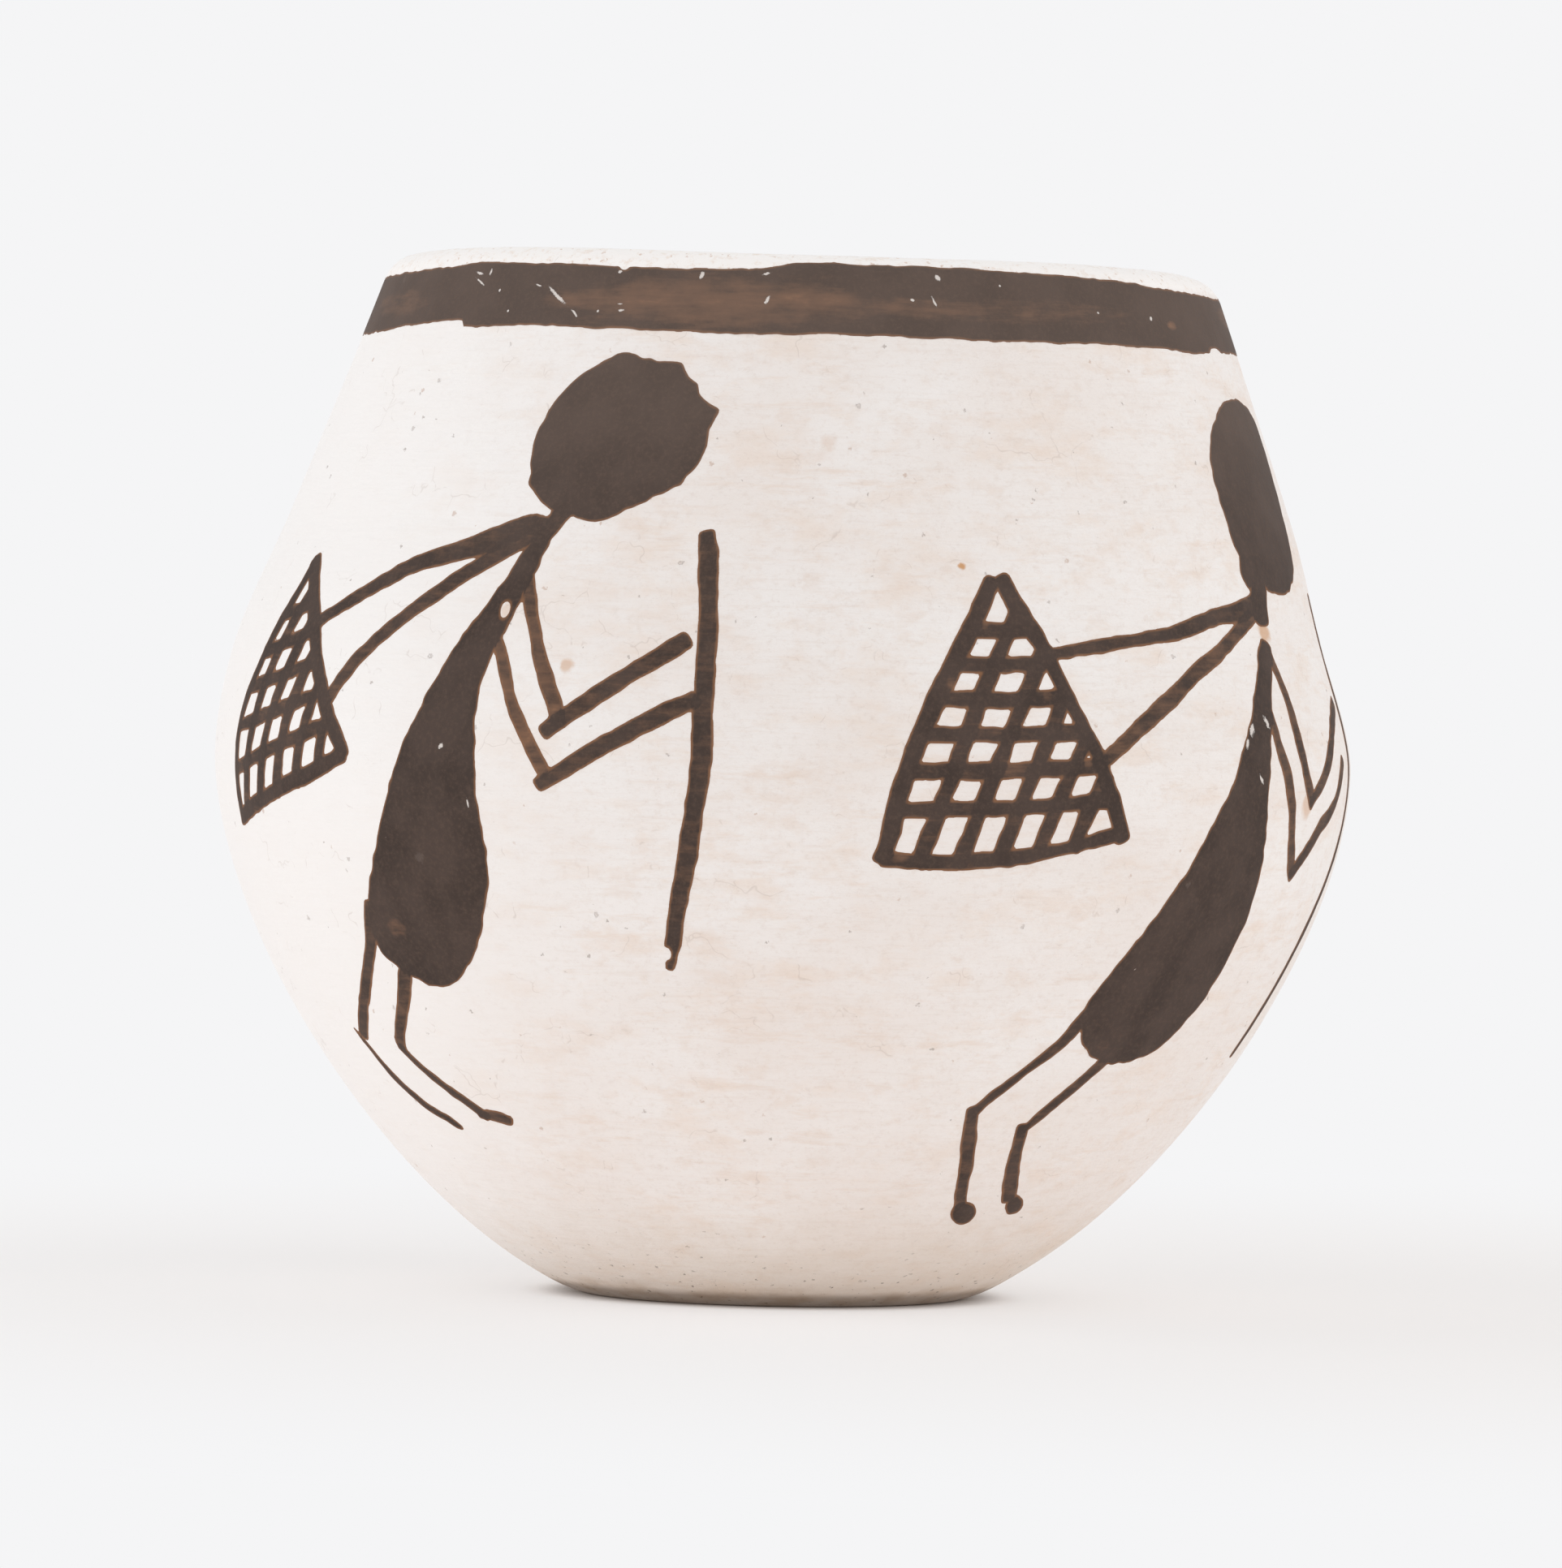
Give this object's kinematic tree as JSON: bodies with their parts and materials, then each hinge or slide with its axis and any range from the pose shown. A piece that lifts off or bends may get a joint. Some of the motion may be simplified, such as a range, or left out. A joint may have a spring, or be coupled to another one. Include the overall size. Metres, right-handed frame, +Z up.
{
  "type": "clay pot",
  "caption": "Small hand-built clay pot with a round belly, open mouth, rounded lip and flat foot, white slip outside and a dark painted band below the lip.",
  "frame": {"origin": "centre of the flat foot, on the plane that the pot rests on", "axes": "+Z up along the pot's axis, -Y towards the front, +X to the right seen from the front"},
  "size_m": [0.0762, 0.0754, 0.0695],
  "materials": {
    "bare_clay": "matt, unglazed, scraped",
    "white_slip": "stone-burnished, low sheen",
    "dark_paint": "matt mineral paint, fired on"
  },
  "bodies": {
    "root": {"clay_body": "bare_clay", "white_slip": "white_slip", "rim_band": "dark_paint"}
  },
  "joints": []
}
